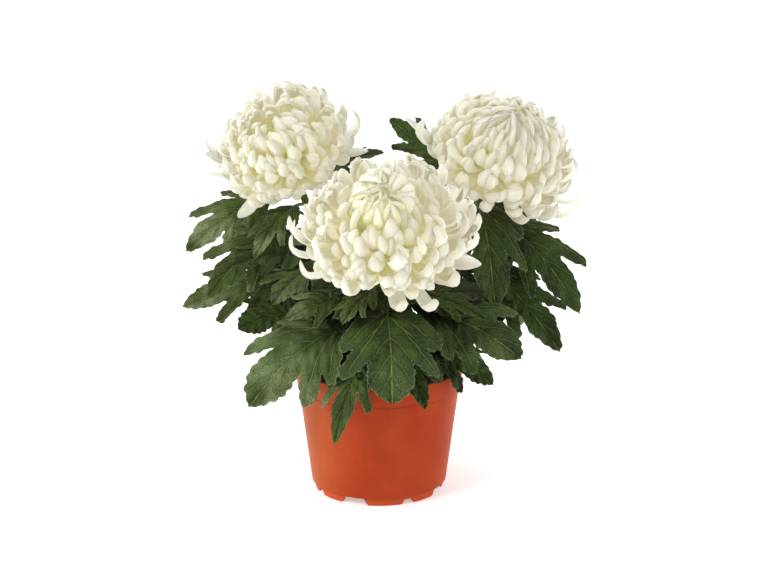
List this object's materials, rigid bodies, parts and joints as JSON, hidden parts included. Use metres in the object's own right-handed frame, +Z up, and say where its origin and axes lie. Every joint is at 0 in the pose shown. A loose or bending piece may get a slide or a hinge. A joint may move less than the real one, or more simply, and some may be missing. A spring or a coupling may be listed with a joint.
{
  "type": "potted chrysanthemum",
  "caption": "Potted chrysanthemum with large white incurved blooms over lobed dark green leaves, in a round orange plastic nursery pot with soil.",
  "frame": {"origin": "on the surface the pot stands on, on the pot's upright axis, below the middle of the plant", "axes": "+Z up the pot's axis; -Y is the front, towards which the blooms lean; X runs from the left bloom to the right bloom"},
  "size_m": [0.3152, 0.2472, 0.3101],
  "materials": {
    "pot": "satin moulded orange-red plastic",
    "soil": "loose dark peat potting soil",
    "foliage": "dark green leaf with fine pale hairs, lighter veins",
    "petals": "soft creamy white petal, pale yellow-green in the depths"
  },
  "bodies": {
    "root": {"pot": "pot", "soil": "soil", "leafy_stem_left": "foliage", "leafy_stem_front": "foliage", "leafy_stem_right": "foliage", "bloom_left": "petals", "bloom_front": "petals", "bloom_right": "petals"}
  },
  "joints": []
}
